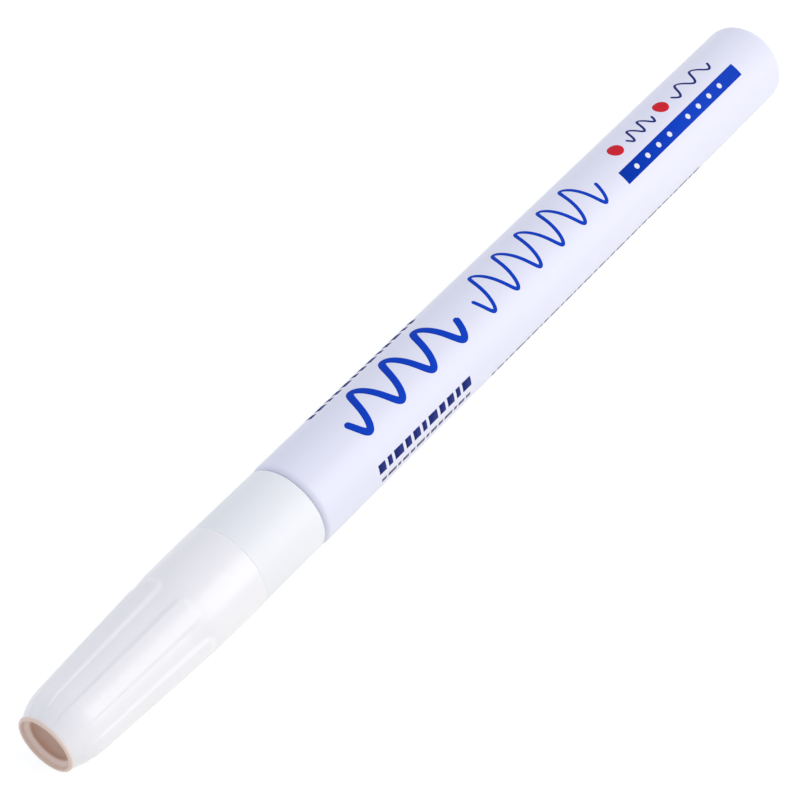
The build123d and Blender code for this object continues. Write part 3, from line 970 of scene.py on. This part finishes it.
coil = bmesh.new()
first_ring = bmesh.ops.create_circle(
    coil, cap_ends=False, radius=wire_radius * mm, segments=wire_sides,
)["verts"]
for vert in first_ring:
    flat = vert.co.copy()
    vert.co = (
        spring_low.x + wire_radius * mm + flat.x,
        coil_radius + flat.y,
        axis_height,
    )
first_edges = list({edge for vert in first_ring for edge in vert.link_edges})
bmesh.ops.contextual_create(coil, geom=first_edges)
spun = bmesh.ops.spin(
    coil, geom=first_ring + first_edges, axis=(1, 0, 0), cent=(0, 0, axis_height),
    dvec=(coil_length / coil_steps, 0, 0), angle=math.tau * spring_turns, steps=coil_steps,
)
last_edges = [item for item in spun["geom_last"] if isinstance(item, bmesh.types.BMEdge)]
bmesh.ops.contextual_create(coil, geom=last_edges)
bmesh.ops.recalc_face_normals(coil, faces=coil.faces[:])
print("coil of", spring_turns, "turns,", round(coil_length / mm, 2), "mm long")

# %% [markdown]
# When the nib is pressed the spring shortens towards the floor of its cage, by as much as the nib
# travels. The piece gets a mesh of its own.

# %% Valve spring
steel = make_finish(
    "drawn_spring_steel", pale=(0.66, 0.66, 0.67), dark=(0.54, 0.54, 0.55), gloss=(0.2, 0.34),
    ripple_size=0.1, patch_size=0.6, depth=0.002, metal=1.0,
)
spring = make_piece(coil, "coil_spring", "pen", steel, "valve_spring")
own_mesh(spring)

# %% [markdown]
# The other valve pieces and the mixing ball never show outside, and their solids already have the
# right form. They keep their own meshes and take on finishes: natural plastic, rubber, polished steel.

# %% Inner pieces
natural = make_finish(
    "natural_valve_plastic", pale=(0.78, 0.79, 0.77), dark=(0.72, 0.73, 0.71), gloss=(0.36, 0.48),
    ripple_size=0.6, patch_size=3, depth=0.006,
)
rubber = make_finish(
    "black_seal_rubber", pale=(0.05, 0.05, 0.055), dark=(0.03, 0.03, 0.034), gloss=(0.62, 0.78),
    ripple_size=0.15, patch_size=1.5, depth=0.01,
)
ball_steel = make_finish(
    "polished_ball_steel", pale=(0.7, 0.7, 0.72), dark=(0.62, 0.62, 0.64), gloss=(0.06, 0.14),
    ripple_size=0.3, patch_size=2, depth=0.001, metal=1.0,
)
inner_finishes = {
    "valve_stem": natural,
    "valve_cage": natural,
    "valve_seat": rubber,
    "barrel_gasket": rubber,
    "mixing_ball": ball_steel,
}
for node, finish in inner_finishes.items():
    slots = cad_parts[node].data.materials
    slots.clear()
    slots.append(finish)
    print(node, "takes", finish.name)

# %% [markdown]
# The table is one wide sheet of pale paper. It is lit like anything else, so it keeps the marker's
# shadow. A little light of its own lifts it to white, but only where the camera or a reflection sees
# it: the Light Path node tells such rays apart, and the helper adds the two kinds.

# %% Floor
floor_half = 3.0
floor_lift = 0.45


def seen_rays(tree):
    """A value that is 1 for rays from the camera and in reflections, and 0 for the rest."""
    rays = tree.nodes.new("ShaderNodeLightPath")
    seen = tree.nodes.new("ShaderNodeMath")
    seen.operation = "ADD"
    tree.links.new(rays.outputs["Is Glossy Ray"], seen.inputs[0])
    tree.links.new(rays.outputs["Is Camera Ray"], seen.inputs[1])
    return seen.outputs[0]


floor_mesh = bmesh.new()
bmesh.ops.create_grid(floor_mesh, x_segments=2, y_segments=2, size=floor_half)
floor_data = bpy.data.meshes.new("pale_floor")
floor_mesh.to_mesh(floor_data)
floor_mesh.free()
floor = bpy.data.objects.new("pale_floor", floor_data)
scene.collection.objects.link(floor)

floor_paper = bpy.data.materials.new("pale_floor_paper")
floor_paper.use_nodes = True
nodes, links = floor_paper.node_tree.nodes, floor_paper.node_tree.links
paper = nodes["Principled BSDF"]
paper.inputs["Base Color"].default_value = (0.81, 0.8, 0.765, 1)
paper.inputs["Roughness"].default_value = 0.9
paper.inputs["Emission Color"].default_value = (1, 1, 1, 1)
glow = nodes.new("ShaderNodeMath")
glow.operation = "MULTIPLY"
glow.inputs[1].default_value = floor_lift
links.new(seen_rays(floor_paper.node_tree), glow.inputs[0])
links.new(glow.outputs[0], paper.inputs["Emission Strength"])
floor_data.materials.append(floor_paper)
print("floor of", 2 * floor_half, "m")

# %% [markdown]
# The sky is even, pale and a little blue, which gives the shaded side of the marker its cool tone. The
# camera and reflections see plain white in its place, as in a studio with white walls.

# %% World
sky_light = 0.775
world = bpy.data.worlds.new("pale_sky")
scene.world = world
world.use_nodes = True
nodes, links = world.node_tree.nodes, world.node_tree.links
sky = nodes["Background"]
sky.inputs["Color"].default_value = (0.87, 0.905, 1.0, 1)
sky.inputs["Strength"].default_value = sky_light
white = nodes.new("ShaderNodeBackground")
white.inputs["Color"].default_value = (1, 1, 1, 1)
choice = nodes.new("ShaderNodeMixShader")
links.new(seen_rays(world.node_tree), choice.inputs["Fac"])
links.new(sky.outputs["Background"], choice.inputs[1])
links.new(white.outputs["Background"], choice.inputs[2])
links.new(choice.outputs["Shader"], nodes["World Output"].inputs["Surface"])
print("sky at", sky_light)

# %% [markdown]
# One large soft box stands low on the near side, beyond the marker's base. A round barrel mirrors it
# in a long stripe, its near flank is the bright one, and every rib shows by a bright and a dark side.
# A weak fill from the far side lights the far edge. Both lamps look at the middle of the marker.

# %% Lamps


def soft_box(name, place, size, watts, colour):
    """An area lamp at a place, in metres from the marker's middle, that looks at it."""
    lamp = bpy.data.lights.new(name, "AREA")
    lamp.shape = "RECTANGLE"
    lamp.size, lamp.size_y = size
    lamp.energy = watts
    lamp.color = colour
    holder = bpy.data.objects.new(name, lamp)
    scene.collection.objects.link(holder)
    holder.location = aim + Vector(place)
    holder.rotation_euler = (-Vector(place)).to_track_quat("-Z", "Y").to_euler()
    print("lamp", name, watts, "W")


soft_box(
    "near_soft_box", place=(0.47, -0.76, 0.45), size=(0.65, 0.95), watts=4.65,
    colour=(1.0, 0.955, 0.87),
)
soft_box("far_fill", place=(0.0, 0.95, 0.3), size=(0.6, 0.4), watts=0.6, colour=(1.0, 0.96, 0.93))

# %% [markdown]
# Last, the box of the imported model is printed.

# %% Sizes and finish
print("cad box", [tuple(corner) for corner in cad_box])
